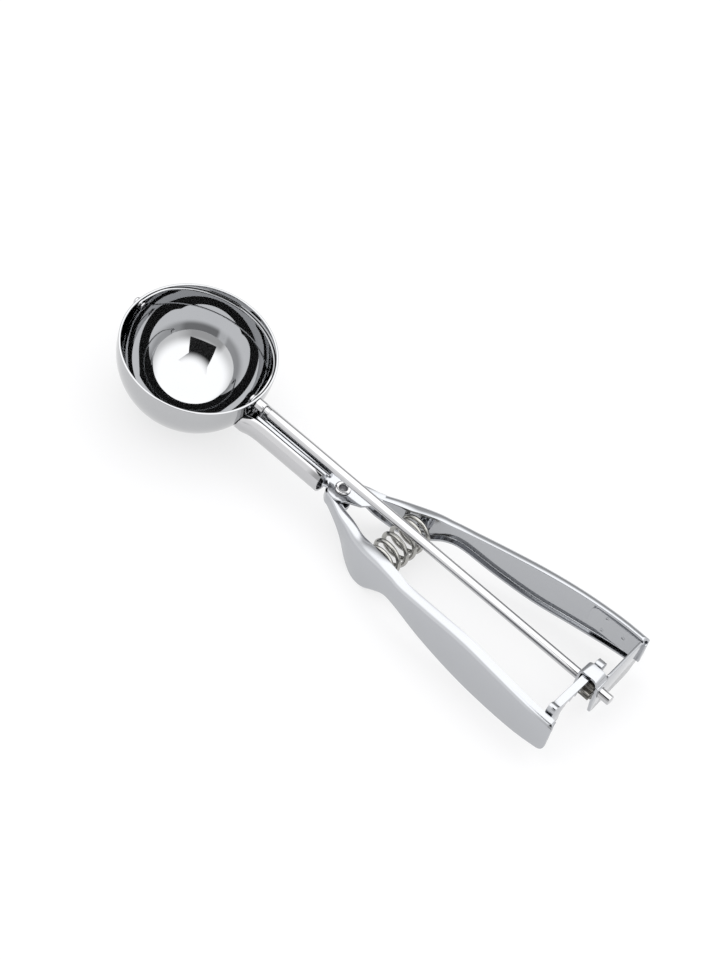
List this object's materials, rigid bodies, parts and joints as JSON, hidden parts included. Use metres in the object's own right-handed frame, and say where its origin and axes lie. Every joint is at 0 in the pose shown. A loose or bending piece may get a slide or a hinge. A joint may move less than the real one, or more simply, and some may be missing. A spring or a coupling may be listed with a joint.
{
  "type": "portion scoop",
  "caption": "Stainless portion scoop: a round bowl with a scraping blade that a rack and pinion sweeps round when the sprung left handle is squeezed.",
  "frame": {"origin": "below the middle of the scoop, level with the lowest point of the bowl", "axes": "+X along the drive rod from the bowl to the handle ends, +Z the way the bowl opens, +Y towards the fixed right handle"},
  "size_m": [0.2328, 0.06, 0.0389],
  "materials": {
    "mirror_steel": "mirror-polished stainless steel",
    "polished_steel": "polished stainless steel",
    "pressed_steel": "polished pressed stainless sheet",
    "spring_steel": "drawn spring wire",
    "cut_steel": "machined steel"
  },
  "bodies": {
    "scoop_body": {"bowl": "mirror_steel", "blade_tip_pin": "polished_steel", "rod_sleeve": "polished_steel", "neck_tube": "polished_steel", "right_handle": "pressed_steel", "pivot_rivet": "polished_steel", "rear_bracket": "pressed_steel", "handle_spring": "spring_steel"},
    "squeeze_handle": {"left_handle": "pressed_steel", "left_rack": "pressed_steel"},
    "rod_and_blade": {"drive_rod": "polished_steel", "blade": "mirror_steel", "pinion": "cut_steel"}
  },
  "joints": [
    {"name": "squeeze", "type": "hinge", "parent": "scoop_body", "child": "squeeze_handle", "pos_m": [-0.0106, 0, 0.0175], "axis": [0, 0, 1], "range_deg": [0, 6.19], "stiffness_Nm_per_rad": 1.9, "springref_deg": -9.74, "deforming": ["handle_spring"]},
    {"name": "rod_turn", "type": "hinge", "parent": "scoop_body", "child": "rod_and_blade", "pos_m": [-0.0848, 0, 0.03], "axis": [1, 0, 0], "range_deg": [-160, 0]}
  ],
  "couplings": [
    {"joint": "rod_turn", "follows": "squeeze", "ratio": -25.844}
  ]
}
